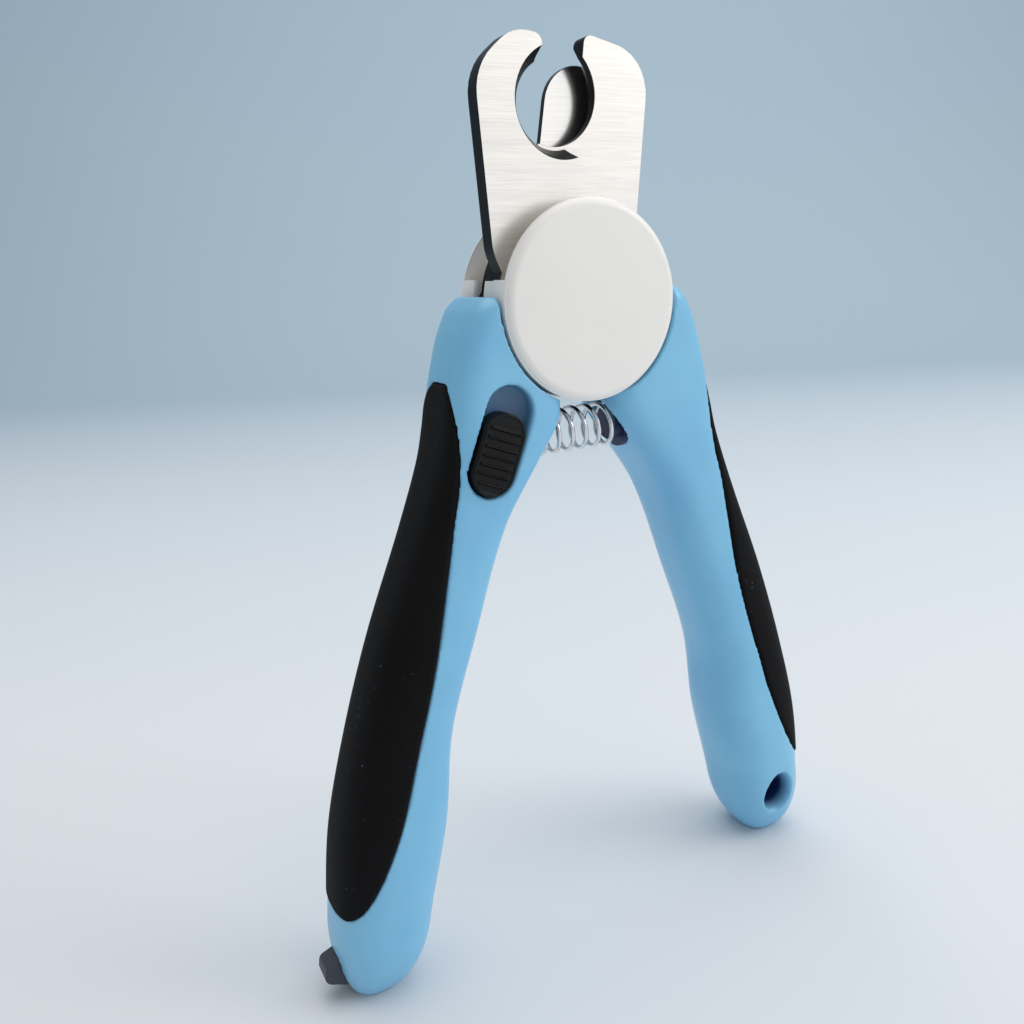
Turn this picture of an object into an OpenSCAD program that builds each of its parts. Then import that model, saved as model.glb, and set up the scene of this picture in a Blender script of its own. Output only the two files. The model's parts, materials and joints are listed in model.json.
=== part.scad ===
// Plier-type pet nail clipper with two moulded handles, a slide lock and a nail file kept in one handle.
// The tool stands on its handle ends. X runs across the handles, Y from front to back, Z up to the jaws.
// Shapes are drawn about the pivot, and at_pivot() lifts them into place.

/* [Blades] */
// Thickness of each blade
blade_t = 3; // [2.4:0.2:3.2]
// Radius of the round hub of each blade
hub_r = 14.2; // [13.6:0.2:14.2]
// Radius of the cutting edge of the rear blade's mouth
mouth_r = 7.7; // [7.3:0.1:7.9]
// Height of the centre of the mouth over the pivot
mouth_z = 30.4; // [30:0.2:31]

/* [Handles] */
// Height of the pivot over the handle ends
pivot_h = 112.6; // [112:0.2:115]
// Depth of the rubber grip in the handle
grip_depth = 1.8; // [1:0.1:2.2]
// How far the rubber stands proud of the handle
grip_proud = 0.25; // [0:0.05:0.4]
// Radius of the hang hole
hang_r = 2.8; // [2:0.1:3.4]

/* [Pivot caps] */
// Radius of the round caps
cap_r = 15.5; // [15.4:0.1:16]
// Distance from the middle of the tool to a cap's outer face
cap_face = 8.8; // [8.2:0.1:9]

/* [Lock] */
// Travel of the lock button
lock_travel = 4; // [3:0.5:4]
// Width of the lock button
button_w = 7.4; // [6.8:0.2:7.6]

/* [Nail file] */
// Length of the steel strip of the file
file_len = 50; // [40:1:52]
// Width of the steel strip of the file
file_w = 7; // [6:0.2:7.4]

/* [Return spring] */
// Mean radius of the spring's coil
coil_r = 3.5; // [3:0.1:3.6]
// Radius of the spring's wire
wire_r = 0.4; // [0.3:0.05:0.45]
// Number of turns
turns = 6.5; // [5:0.5:7]

/* [Hidden] */
$fn = 72;

slip = 0.03;           // half the gap between the two blades
fit_gap = 0.3;         // gap round parts that slide by hand
eps = 0.01;
handle_reach = 50.5;   // widest point of a handle from the pivot's plane
hook_reach = 52.5;     // reach of the file's thumb hook
pivot_x = (hook_reach - handle_reach) / 2;
inner_face = cap_face - 1.6;
socket_r = cap_r + 0.5;
guard_lean = 10;       // the guard finger leans this far to the right
screw_r = 3;           // pivot screw
bush_r = 4;            // outside of the bush that the screw turns in
peg_r = 1.2;           // pegs that hold a cap on its blade

steel = "gainsboro";
blue = "cornflowerblue";
rubber = [0.12, 0.12, 0.13];
white = "whitesmoke";

// ---------- placing ----------
module at_pivot() translate([pivot_x, 0, pivot_h]) children();

// A flat outline drawn in X and Z, given thickness from y0 to y1.
module plate(y0, y1) translate([0, y1, 0]) rotate([90, 0, 0]) linear_extrude(y1 - y0) children();

// A round bar or bore along Y from y0 to y1.
module bar_y(x, z, r, y0, y1) translate([x, y1, z]) rotate([90, 0, 0]) cylinder(r = r, h = y1 - y0);

// A cone along Y whose radius goes from r0 at y0 to r1 at y1.
module cone_y(x, z, r0, r1, y0, y1)
  translate([x, y1, z]) rotate([90, 0, 0]) cylinder(r1 = r1, r2 = r0, h = y1 - y0);

// The same shape on the other side of the tool.
module mirrored() mirror([1, 0, 0]) children();

// ---------- outlines with rounded corners ----------
function unit2(v) = v / norm(v);

// Arc that rounds the corner q between p and s with radius r, in n steps.
function corner(p, q, s, r, n) =
  let(
    u = unit2(p - q),
    v = unit2(s - q),
    half = acos(u * v) / 2,
    c = q + unit2(u + v) * r / sin(half),
    from = q + u * r / tan(half) - c,
    to = q + v * r / tan(half) - c,
    a0 = atan2(from[1], from[0]),
    turn = atan2(to[1], to[0]) - a0,
    sweep = turn > 180 ? turn - 360 : turn < -180 ? turn + 360 : turn
  )
  [for (i = [0:n]) c + r * [cos(a0 + sweep * i / n), sin(a0 + sweep * i / n)]];

// Outline from corners [x, z, radius]; a radius of 0 keeps the corner sharp.
function rounded(pts, n = 6) =
  let(m = len(pts))
  [
    for (i = [0:m - 1])
      let(
        p = pts[(i + m - 1) % m],
        q = pts[i],
        s = pts[(i + 1) % m],
        at = [q[0], q[1]]
      )
      each (q[2] > 0 ? corner([p[0], p[1]], at, [s[0], s[1]], q[2], n) : [at])
  ];

// Sector between two radii; angles count from straight down towards the left.
function sector(r0, r1, a0, a1, n = 8) = concat(
  [for (i = [0:n]) let(a = a0 + (a1 - a0) * i / n) r1 * [-sin(a), -cos(a)]],
  [for (i = [n:-1:0]) let(a = a0 + (a1 - a0) * i / n) r0 * [-sin(a), -cos(a)]]
);

// ---------- blades ----------
// Front jaw: a hook at the left of the mouth that opens to the right.
module front_jaw() {
  polygon(rounded([
    [0.4, mouth_z - 8.1, 0],
    [7.6, 12, 0],
    [0, 0, 0],
    [-12, 2, 0],
    [-14.6, 8, 8],
    [-16.1, mouth_z + 3.2, 8],
    [-9.6, mouth_z + 8.6, 6],
    [-4.6, mouth_z + 7.9, 1.5],
    [-4.9, mouth_z + 5.1, 0]
  ]));
}

// Rear jaw: the wider hook, at the right of the mouth.
module rear_jaw() {
  polygon(rounded([
    [-4.4, mouth_z - 6.76, 0],
    [-5.9, mouth_z - 7.6, 1],
    [-9, 12, 0],
    [0, 0, 0],
    [12, 2, 0],
    [13.6, 9, 8],
    [16.6, mouth_z + 5.2, 7],
    [11.2, mouth_z + 7.8, 8],
    [4.6, mouth_z + 9.3, 1.3],
    [4.1, mouth_z + 5.6, 0]
  ]));
}

// Tang of the blade whose handle is at the right.
module tang() {
  polygon(rounded([
    [0, 0, 0],
    [13.2, 3.2, 0],
    [16.8, -1.4, 2],
    [20.2, -8, 10],
    [23.2, -24, 10],
    [30.2, -44, 2],
    [25.5, -46, 2],
    [19.5, -36, 8],
    [12.8, -24, 6],
    [11.2, -16.5, 2],
    [5.5, -12, 0]
  ]));
}

mouth_x = -1.5;        // the mouth lies this far from the pivot's plane
front_drop = 1.1;      // with the handles open, the front blade's mouth lies this much lower
rear_rise = 0.6;       // and the rear blade's this much higher
front_less = 1.1;      // the front blade's cutting edge has a radius this much smaller
front_flare = 1.6;     // widening of the front blade's mouth towards its outer face
rear_flare = 1.4;
relief_r = 10.8;       // depth of the reliefs that leave the lock's tooth

// A mouth: a straight land at the shearing face and a cone that opens away from it.
module mouth_cut(z, r, flare, land, shear_y, outer_y) {
  low = min(shear_y, outer_y) - 1;
  edge = shear_y + (outer_y - shear_y) * land;
  bar_y(mouth_x, z, r, low, low + blade_t + 2);
  if (outer_y < shear_y)
    cone_y(mouth_x, z, r + flare + 0.1, r, outer_y - 0.1, edge);
  else
    cone_y(mouth_x, z, r, r + flare + 0.1, edge, outer_y + 0.1);
}

peg_angle = 15;
peg_at = 9.8;
module peg_holes(y0, y1) {
  for (side = [-1, 1])
    bar_y(side * peg_at * cos(peg_angle), -peg_at * sin(peg_angle), peg_r + 0.05, y0, y1);
}

module front_blade() {
  color(steel) at_pivot() difference() {
    union() {
      plate(-slip - blade_t, -slip) front_jaw();
      plate(-slip - blade_t, -slip) circle(r = hub_r);
      plate(-slip - blade_t, -slip) tang();
    }
    mouth_cut(mouth_z - front_drop, mouth_r - front_less, front_flare, 0.1, -slip, -slip - blade_t);
    bar_y(0, 0, bush_r + 0.05, -5, 1);
    peg_holes(-5, 1);
    // two reliefs in the hub leave a tooth that the lock bolt blocks
    plate(-5, 1) polygon(sector(relief_r, hub_r + 1, 1.7, 22.2));
    plate(-5, 1) polygon(sector(relief_r, hub_r + 1, 31.2, 52.7));
  }
}

module rear_blade() {
  color(steel) at_pivot() difference() {
    union() {
      plate(slip, slip + blade_t) rear_jaw();
      plate(slip, slip + blade_t) circle(r = hub_r);
      plate(slip, slip + blade_t) mirrored() tang();
    }
    mouth_cut(mouth_z + rear_rise, mouth_r, rear_flare, 0.45, slip, slip + blade_t);
    bar_y(0, 0, bush_r + 0.01, -1, 5);
    peg_holes(-1, 5);
  }
}

// ---------- pivot stack ----------
guard_y = slip + blade_t + 0.42;
guard_t = 1;

module guard_plate() {
  color(steel) at_pivot() rotate([0, guard_lean, 0]) difference() {
    union() {
      plate(guard_y, guard_y + guard_t) circle(r = 8);
      plate(guard_y, guard_y + guard_t)
        polygon(rounded([[-6.3, 0, 0], [6.3, 0, 0], [6.3, 36.2, 6.2], [-6.3, 36.2, 6.2]], 10));
    }
    bar_y(0, 0, screw_r + 0.1, guard_y - 1, guard_y + 3);
  }
}

module ring(r_in, r_out, y0, y1) {
  difference() {
    bar_y(0, 0, r_out, y0, y1);
    bar_y(0, 0, r_in, y0 - 1, y1 + 1);
  }
}

module guard_washer() {
  color(steel) at_pivot() ring(screw_r + 0.1, 6, guard_y + guard_t + 0.02, guard_y + guard_t + 0.32);
}

// Two shallow steps stand for the waves of the washer.
module wave_washer() {
  color(steel) at_pivot() {
    ring(bush_r + 0.1, 6.8, slip + blade_t + 0.02, slip + blade_t + 0.22);
    for (a = [0, 120, 240])
      rotate([0, a, 0]) bar_y(5.4, 0, 0.9, slip + blade_t + 0.2, slip + blade_t + 0.4);
  }
}

module front_washer() {
  color(steel) at_pivot() ring(screw_r + 0.1, 7, -slip - blade_t - 0.53, -slip - blade_t - 0.03);
}

module pivot_bush() {
  color("tan") at_pivot() ring(screw_r + 0.03, bush_r, -slip - blade_t, slip + blade_t);
}

module pivot_screw() {
  color("silver") at_pivot() difference() {
    union() {
      bar_y(0, 0, screw_r, -5.4, guard_y + 1.35);
      bar_y(0, 0, 5.4, guard_y + 1.34, guard_y + 2.2);
    }
    plate(guard_y + 1.7, guard_y + 3) square([7, 1.1], center = true);
  }
}

module pivot_nut() {
  color("silver") at_pivot() difference() {
    plate(-5.5, -slip - blade_t - 0.56) circle(r = 5.6, $fn = 6);
    bar_y(0, 0, screw_r, -7, 0);
  }
}

// Cap whose outer face looks to -Y: a disc with a rounded rim, a wall round its lower part, a lip that
// wraps the edge of the front blade's hub at the left, and two pegs.
module cap() {
  rim = 1;
  wall = 1.4;
  lip = 1.1;
  disc = [
    [0, 0], [cap_r, 0], [cap_r, cap_face - inner_face - rim],
    for (a = [15:15:75]) [cap_r - rim + rim * cos(a), cap_face - inner_face - rim + rim * sin(a)],
    [cap_r - rim, cap_face - inner_face], [0, cap_face - inner_face]
  ];
  translate([0, -inner_face, 0]) rotate([90, 0, 0]) rotate_extrude() polygon(disc);
  difference() {
    ring(cap_r - wall, cap_r, -inner_face - eps, -slip - blade_t - 0.1);
    plate(-inner_face + 0.01, 0) polygon(sector(1, 2 * cap_r, 105, 255));
  }
  intersection() {
    ring(cap_r - lip, cap_r, -slip - blade_t - 0.2, -0.25);
    plate(-5, 0) polygon(sector(1, 2 * cap_r, 66, 105));
  }
  for (side = [-1, 1])
    bar_y(side * peg_at * cos(peg_angle), -peg_at * sin(peg_angle), peg_r, -inner_face - eps, -1);
}

module front_cap() {
  color(white) at_pivot() cap();
}

module rear_cap() {
  color(white) at_pivot() rotate([0, 0, 180]) cap();
}

// ---------- handles ----------
// Stations down a handle: depth below the pivot, inner edge, outer edge, half thickness, squareness.
stations = [
  [-1.6, 5, 18.6, 7.5, 4.4],
  [1, 5, 20.2, 7.6, 4.4],
  [5, 5, 22, 7.7, 4.4],
  [13, 5, 24.2, 7.8, 4.4],
  [18, 5.2, 25.1, 8, 4.2],
  [24, 9, 26.7, 8, 3.8],
  [34, 15.3, 30.8, 8, 3.1],
  [51, 21.4, 38.2, 8, 2.8],
  [67, 26.8, 43.8, 8.4, 2.6],
  [83, 29.2, 48.1, 9, 2.6],
  [99, 33.2, 50.2, 8.7, 2.6],
  [107, 34.6, 51, 8.4, 2.6],
  [pivot_h, 35.6, 51.8, 8, 2.6]
];

// Smooth curve through the stations, with the mean of the two neighbouring slopes at each.
function slope(i, k) =
  let(a = stations[max(i - 1, 0)], b = stations[min(i + 1, len(stations) - 1)])
  (b[k] - a[k]) / (b[0] - a[0]);
function at_depth(h, k) =
  let(
    i = max([for (j = [0:len(stations) - 2]) if (j == 0 || stations[j][0] <= h) j]),
    a = stations[i],
    b = stations[i + 1],
    step = b[0] - a[0],
    u = (h - a[0]) / step
  )
  (2 * u ^ 3 - 3 * u ^ 2 + 1) * a[k] + (u ^ 3 - 2 * u ^ 2 + u) * step * slope(i, k)
  + (3 * u ^ 2 - 2 * u ^ 3) * b[k] + (u ^ 3 - u ^ 2) * step * slope(i + 1, k);

top_h = -1.6;          // depth of the handle's top face
top_round = 2.4;       // depth over which its upper edge is rounded
end_round = 12.5;      // depth over which its lower end is rounded
end_foot = 0.5;       // part of the section that is left at the flat foot
function end_scale(h) =
  h < top_h + top_round ? 1 - 0.12 * (1 - (h - top_h) / top_round) ^ 2 :
  h > pivot_h - end_round ? sqrt(1 - (1 - end_foot ^ 2) * ((h - pivot_h + end_round) / end_round) ^ 2) :
  1;

function sgn_pow(c, p) = sign(c) * abs(c) ^ p;

// Point on the section at depth h, at angle a from the outward side, sunk by d.
function skin(h, a, d) =
  let(
    inner = at_depth(h, 1),
    outer = at_depth(h, 2),
    e = end_scale(h),
    p = 2 / at_depth(h, 4)
  )
  [
    (inner + outer) / 2 + ((outer - inner) / 2 * e - d) * sgn_pow(cos(a), p),
    (at_depth(h, 3) * e - d) * sgn_pow(sin(a), p),
    -h
  ];

// Leaf outline of the grip: the half angle that it takes up of the section at depth h.
grip_top = 11;
grip_end = 95.5;
grip_share = 0.53;
edge_angle = 6;
function grip_angle(h) =
  h <= grip_top || h >= grip_end ? edge_angle :
  let(
    u = (h - grip_top) / (grip_end - grip_top),
    share = grip_share * sin(180 * u ^ 1.36) ^ (u < 0.6 ? 1 : 0.53),
    c = 1 - 2 * share
  )
  max(edge_angle, acos(sgn_pow(c, at_depth(h, 4) / 2)));

parting = 0.05;        // hairline step that carries on past the ends of the grip
function seat_depth(h) = h < grip_top || h > grip_end ? parting : grip_depth;

free_steps = 22;
seat_steps = 12;

// One ring of the moulding: the bare skin, then the seat of the grip.
function body_ring(h) =
  let(b = grip_angle(h))
  concat(
    [for (i = [0:free_steps]) skin(h, b + (360 - 2 * b) * i / free_steps, 0)],
    [for (i = [0:seat_steps]) skin(h, -b + 2 * b * i / seat_steps, seat_depth(h))]
  );

// One ring of the grip: its outer face, then its inner face on the seat.
function grip_ring(h) =
  let(b = grip_angle(h) - 0.3)
  concat(
    [for (i = [0:seat_steps]) skin(h, -b + 2 * b * i / seat_steps, -grip_proud)],
    [for (i = [seat_steps:-1:0]) skin(h, -b + 2 * b * i / seat_steps, grip_depth - 0.03)]
  );

// Closed skin through a list of rings of equal length.
module loft(rings) {
  m = len(rings[0]);
  k = len(rings);
  polyhedron(
    [for (r = rings) each r],
    concat(
      [[for (i = [0:m - 1]) i]],
      [[for (i = [m - 1:-1:0]) (k - 1) * m + i]],
      [
        for (j = [0:k - 2], i = [0:m - 1])
          let(a = j * m + i, b = j * m + (i + 1) % m)
          each [[a, a + m, b + m], [a, b + m, b]]
      ]
    )
  );
}

body_depths = concat(
  [for (i = [0:3]) top_h + top_round * i / 3],
  [4, 8, grip_top - 0.2, grip_top + 0.2],
  [for (h = [14:3.2:90]) h],
  [92, 94, grip_end - 0.2, grip_end + 0.2, 98],
  [for (i = [0:7]) pivot_h - end_round + end_round * sin(90 / 7 * i)]
);
grip_depths = [for (h = body_depths) if (h > grip_top && h < grip_end) h];

// Middle of the hang hole in the right handle.
hang_x = 42;
hang_z = -102;
dish_floor = 5.8;      // the oval dishes at both ends of the hole reach in to here
dish_steps = [-2.2, 0, 2.2];

// Lock slide: middle of the recess, and the lean of its travel.
recess_x = -17.3;
recess_z = -19.95;
lock_lean = 21.8;
button_len = 13.2;
recess_len = button_len + lock_travel + 2 * fit_gap;
recess_floor = -5.6;
module at_lock() translate([recess_x, 0, recess_z]) rotate([0, lock_lean, 0]) children();

module stadium(w, l) {
  square([w, l - w], center = true);
  for (side = [-1, 1])
    translate([0, side * (l - w) / 2]) circle(d = w);
}

// Nail file: its strip starts here and runs down the left handle.
file_x = -33.6;
file_z = -57;
file_lean = 11.4;
module at_file() translate([file_x, 0, file_z]) rotate([0, file_lean, 0]) children();

seat_x = 9.6;          // where the floors of the two spring pockets lie
spring_z = -21;
pocket_r = coil_r + wire_r + 0.45;

// A bar along X from x0 to x1 at the spring's height.
module bar_x(r, x0, x1) translate([x0, 0, spring_z]) rotate([0, 90, 0]) cylinder(r = r, h = x1 - x0);

// What both mouldings have cut away: room for the caps, the tang's slot and the spring's pocket.
module handle_blank() {
  difference() {
    loft([for (h = body_depths) body_ring(h)]);
    bar_y(0, 0, socket_r, -12, 12);
    bar_x(pocket_r, -2, seat_x);
  }
}

module left_handle_body() {
  color(blue) at_pivot() difference() {
    mirrored() handle_blank();
    plate(slip, slip + blade_t + 0.02) mirrored() tang();
    at_lock() {
      plate(-12, recess_floor) stadium(button_w + 2 * fit_gap, recess_len);
      plate(-12, -2) translate([0, -2]) square([3.8, lock_travel + 7.2], center = true);
      plate(-2.8, -0.2) translate([0.9, 1]) square([10.2, 15], center = true);
      plate(-2.8, -0.6) translate([4.6, 6]) square([2.8, 20], center = true);
    }
    at_file() {
      plate(-0.8, 0.8) translate([0, -30]) square([file_w + 0.6, 60], center = true);
      plate(-0.8, 2.2) translate([0, -8]) square([4, 16], center = true);
      plate(-2.4, 2.4)
        polygon([[4.9, -44.9], [4.9, -69], [-11, -69], [-11, -49.4], [-5.1, -49.4], [-5.1, -44.9]]);
    }
  }
}

module right_handle_body() {
  color(blue) at_pivot() difference() {
    handle_blank();
    plate(-slip - blade_t - 0.02, -slip) tang();
    bar_y(hang_x, hang_z, hang_r, -12, 12);
    for (dz = dish_steps) {
      cone_y(hang_x, hang_z + dz, hang_r + 1.8, hang_r, -10.4, -dish_floor);
      cone_y(hang_x, hang_z + dz, hang_r, hang_r + 1.8, dish_floor, 10.4);
    }
  }
}

module left_grip() {
  color(rubber) at_pivot() mirrored() loft([for (h = grip_depths) grip_ring(h)]);
}

module right_grip() {
  color(rubber) at_pivot() loft([for (h = grip_depths) grip_ring(h)]);
}

// ---------- lock ----------
button_shift = -lock_travel / 2;
ribs = 8;
module lock_button() {
  color(rubber) at_pivot() at_lock() translate([0, 0, button_shift]) difference() {
    union() {
      plate(-8.4, recess_floor - 0.2) stadium(button_w, button_len);
      for (i = [0:ribs - 1])
        plate(-8.9, -8.39) translate([0, (i - (ribs - 1) / 2) * 1.3]) square([5.6, 0.6], center = true);
      bar_y(0, 0, 1.5, recess_floor - 0.3, -2.6);
    }
    bar_y(0, 0, 0.8, -7, 0);
  }
}

// Flat bolt: a plate behind the button and a nose that reaches the hub of the front blade.
module lock_bolt() {
  color("silver") at_pivot() at_lock() difference() {
    plate(-2.5, -1.2)
      polygon(rounded([
        [-3, -6, 1], [5.6, -6, 1], [5.6, 10.3, 0.5], [3.6, 10.3, 0.5], [3.6, 2.5, 0], [-3, 2.5, 1]
      ]));
    bar_y(0, button_shift, 0.85, -4, 0);
  }
}

module lock_screw() {
  color("silver") at_pivot() at_lock() translate([0, 0, button_shift]) {
    bar_y(0, 0, 0.8, -6.5, -1.15);
    bar_y(0, 0, 1.7, -1.18, -0.5);
  }
}

// Bowed strip that presses on the edge of the bolt.
module bow(length, rise, thick) {
  n = 10;
  polygon(concat(
    [for (i = [0:n]) [rise * sin(180 * i / n), length * (i / n - 0.5)]],
    [for (i = [n:-1:0]) [rise * sin(180 * i / n) - thick, length * (i / n - 0.5)]]
  ));
}

module lock_detent() {
  color(steel) at_pivot() at_lock() plate(-2.3, -1.3) translate([-3.95, -2]) bow(8, 0.8, 0.2);
}

// ---------- return spring ----------
spring_end = seat_x - 0.85;
wire_sides = 8;
coil_steps = 14;
function coil_ring(t) =
  let(
    a = 360 * turns * t,
    x = (2 * t - 1) * (spring_end - wire_r)
  )
  [
    for (i = [0:wire_sides - 1])
      let(b = 360 * i / wire_sides, r = coil_r + wire_r * cos(b))
      [x + wire_r * sin(b), r * cos(a), spring_z + r * sin(a)]
  ];

module return_spring() {
  color("silver") at_pivot() loft([for (i = [0:turns * coil_steps]) coil_ring(i / (turns * coil_steps))]);
}

// Spring seat at the right: a flange on the pocket's floor and a post inside the coil.
module spring_seat() {
  bar_x(pocket_r - 0.1, seat_x - 0.8, seat_x);
  bar_x(coil_r - wire_r - 0.3, seat_x - 2.6, seat_x - 0.79);
}

module left_spring_seat() {
  color("dimgray") at_pivot() mirrored() spring_seat();
}

module right_spring_seat() {
  color("dimgray") at_pivot() spring_seat();
}

// ---------- nail file ----------
module file_strip() {
  color(steel) at_pivot() at_file() plate(-0.5, 0.5)
    polygon(rounded([
      [-file_w / 2, -file_len, 0], [file_w / 2, -file_len, 0],
      [file_w / 2, -1, file_w / 2 - 0.1], [-file_w / 2, -1, file_w / 2 - 0.1]
    ], 8));
}

// Head of the file: a flat block with a rounded end and a thumb hook on its outer side.
module file_cap() {
  color(rubber) at_pivot() at_file() difference() {
    plate(-2.1, 2.1)
      polygon(rounded([
        [4.6, -45.2, 1], [4.6, -50, 1.5], [2, -53.6, 3], [-4, -55.4, 3],
        [-8.8, -54.2, 1.6], [-8.9, -51.4, 1.1], [-6.4, -49.9, 1], [-4.8, -49.3, 0.4], [-4.8, -45.2, 0.8]
      ]));
    plate(-0.52, 0.52) translate([0, -45]) square([file_w + 0.04, 10.04], center = true);
  }
}

// Leaf that presses on the flat of the file.
module file_latch() {
  color(steel) at_pivot() at_file() translate([-1.4, 1.6, -8]) rotate([0, 0, -90])
    plate(0, 2.8) bow(12, 1, 0.2);
}

front_blade();
rear_blade();
guard_plate();
guard_washer();
wave_washer();
front_washer();
pivot_bush();
pivot_screw();
pivot_nut();
front_cap();
rear_cap();
left_handle_body();
right_handle_body();
left_grip();
right_grip();
lock_button();
lock_bolt();
lock_screw();
lock_detent();
return_spring();
left_spring_seat();
right_spring_seat();
file_strip();
file_cap();
file_latch();
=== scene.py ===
"""Plier-type pet nail clipper: moulded skins, ground steel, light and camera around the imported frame."""

import json
import logging
import math
from dataclasses import dataclass
from enum import Enum

import bmesh
import bpy
import numpy as np
from mathutils import Matrix, Vector


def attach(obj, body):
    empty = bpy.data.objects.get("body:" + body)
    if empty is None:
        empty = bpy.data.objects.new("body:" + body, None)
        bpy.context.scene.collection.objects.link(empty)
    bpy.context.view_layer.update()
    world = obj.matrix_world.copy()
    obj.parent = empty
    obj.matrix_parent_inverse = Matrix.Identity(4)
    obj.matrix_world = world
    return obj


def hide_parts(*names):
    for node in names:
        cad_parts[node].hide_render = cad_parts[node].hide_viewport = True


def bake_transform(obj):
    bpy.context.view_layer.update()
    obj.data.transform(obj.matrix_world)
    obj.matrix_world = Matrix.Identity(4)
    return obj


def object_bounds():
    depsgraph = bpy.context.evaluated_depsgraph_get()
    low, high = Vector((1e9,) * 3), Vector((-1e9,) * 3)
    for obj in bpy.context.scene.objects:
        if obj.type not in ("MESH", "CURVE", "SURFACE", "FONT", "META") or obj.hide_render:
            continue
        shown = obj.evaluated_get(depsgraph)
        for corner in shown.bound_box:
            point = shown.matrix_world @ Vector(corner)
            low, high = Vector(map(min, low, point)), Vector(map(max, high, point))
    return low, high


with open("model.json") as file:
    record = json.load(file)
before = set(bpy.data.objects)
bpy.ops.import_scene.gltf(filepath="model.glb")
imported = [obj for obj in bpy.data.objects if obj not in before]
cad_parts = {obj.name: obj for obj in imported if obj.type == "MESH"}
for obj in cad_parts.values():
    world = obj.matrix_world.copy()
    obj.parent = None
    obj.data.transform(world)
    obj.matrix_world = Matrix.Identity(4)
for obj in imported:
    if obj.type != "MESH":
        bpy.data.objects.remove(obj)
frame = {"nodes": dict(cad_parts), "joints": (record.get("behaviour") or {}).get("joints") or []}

CAD_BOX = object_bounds()
MM = 0.001
LOG = logging.getLogger("nail_clipper")
PIVOT = np.array(next(j for j in frame["joints"] if j["name"] == "handle_squeeze")["pos_m"]) / MM
ALL_SMOOTH = 180.0      # degrees; no edge stays sharp


class Body(Enum):
    """Rigid bodies of the tool, by the names that the frame gives them."""

    LEFT = "left_handle"
    RIGHT = "right_handle"
    GUARD = "guard"
    LOCK = "lock_slide"
    FILE = "nail_file"


class Side(Enum):
    """Side of the tool, with the sign of its X."""

    LEFT = -1
    RIGHT = 1


# ---------------------------------------------------------------- meshes


def make_piece(name: str, points: np.ndarray, faces: list, smooth_deg: float = 40.0) -> bpy.types.Object:
    """Makes an object from points in millimetres about the pivot.

    Args:
        name: name of the piece.
        points: array of shape (n, 3), measured from the pivot.
        faces: lists of point numbers, outward by the right-hand rule.
        smooth_deg: edges sharper than this stay sharp.

    Returns:
        The object, at the origin, with its place in its mesh.
    """
    mesh = bpy.data.meshes.new(name)
    mesh.from_pydata((np.asarray(points, float) + PIVOT) * MM, [], faces)
    mesh.validate()
    obj = bpy.data.objects.new(name, mesh)
    bpy.context.scene.collection.objects.link(obj)
    tidy_mesh(obj, smooth_deg)
    return obj


def tidy_mesh(obj: bpy.types.Object, smooth_deg: float) -> None:
    """Merges doubled points, turns every face outwards and shades smooth below an angle.

    Args:
        obj: the object whose mesh is put in order.
        smooth_deg: edges sharper than this stay sharp.
    """
    work = bmesh.new()
    work.from_mesh(obj.data)
    bmesh.ops.remove_doubles(work, verts=work.verts, dist=1e-7)
    bmesh.ops.dissolve_degenerate(work, edges=work.edges, dist=1e-8)
    bmesh.ops.recalc_face_normals(work, faces=work.faces)
    work.to_mesh(obj.data)
    work.free()
    shade(obj.data, smooth_deg)


def shade(mesh: bpy.types.Mesh, smooth_deg: float) -> None:
    """Shades a mesh smooth and keeps edges sharper than the angle.

    Args:
        mesh: the mesh.
        smooth_deg: the angle, in degrees.
    """
    mesh.polygons.foreach_set("use_smooth", np.ones(len(mesh.polygons), bool))
    mesh.set_sharp_from_angle(angle=math.radians(smooth_deg))
    mesh.update()


def ring_faces(rings: int, around: int, first: int = 0) -> list:
    """Quads between neighbouring rings of a tube; ring j holds points first + j * around onwards.

    Args:
        rings: number of rings.
        around: points in each ring.
        first: number of the first ring's first point.

    Returns:
        Lists of four point numbers.
    """
    j, i = np.meshgrid(np.arange(rings - 1), np.arange(around), indexing="ij")
    a = first + j * around + i
    b = first + j * around + (i + 1) % around
    return np.stack([a, b, b + around, a + around], -1).reshape(-1, 4).tolist()


def tube_piece(name: str, rings: np.ndarray, smooth_deg: float = 40.0) -> bpy.types.Object:
    """Closed skin through rings of equal length, with a flat face at each end.

    Args:
        name: name of the piece.
        rings: array of shape (rings, points per ring, 3).
        smooth_deg: edges sharper than this stay sharp.

    Returns:
        The new object.
    """
    count, around = rings.shape[:2]
    ends = [list(range(around))[::-1], list(range((count - 1) * around, count * around))]
    return make_piece(name, rings.reshape(-1, 3), ring_faces(count, around) + ends, smooth_deg)


def lathe_rings(profile: np.ndarray, around: int = 96) -> np.ndarray:
    """Turns a profile of (radius, y) about the Y axis: point = (r cos t, y, r sin t).

    Args:
        profile: array of shape (n, 2).
        around: number of steps round the axis.

    Returns:
        Array of shape (n, around, 3).
    """
    t = np.linspace(0, 2 * np.pi, around, endpoint=False)
    r, y = profile[:, :1], profile[:, 1:]
    return np.stack([r * np.cos(t), np.broadcast_to(y, (len(profile), around)), r * np.sin(t)], -1)


def bar_rings(radii: tuple, y: tuple, x: float = 0, z: float = 0, around: int = 96) -> np.ndarray:
    """A straight or tapered round bar along Y at (x, z), as two rings.

    Args:
        radii: radius at each end.
        y: place of each end.
        x: place across.
        z: height.
        around: number of steps round the bar.

    Returns:
        Array of shape (2, around, 3).
    """
    rings = lathe_rings(np.array([[radii[0], y[0]], [radii[1], y[1]]], float), around)
    return rings + np.array([x, 0, z])


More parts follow.
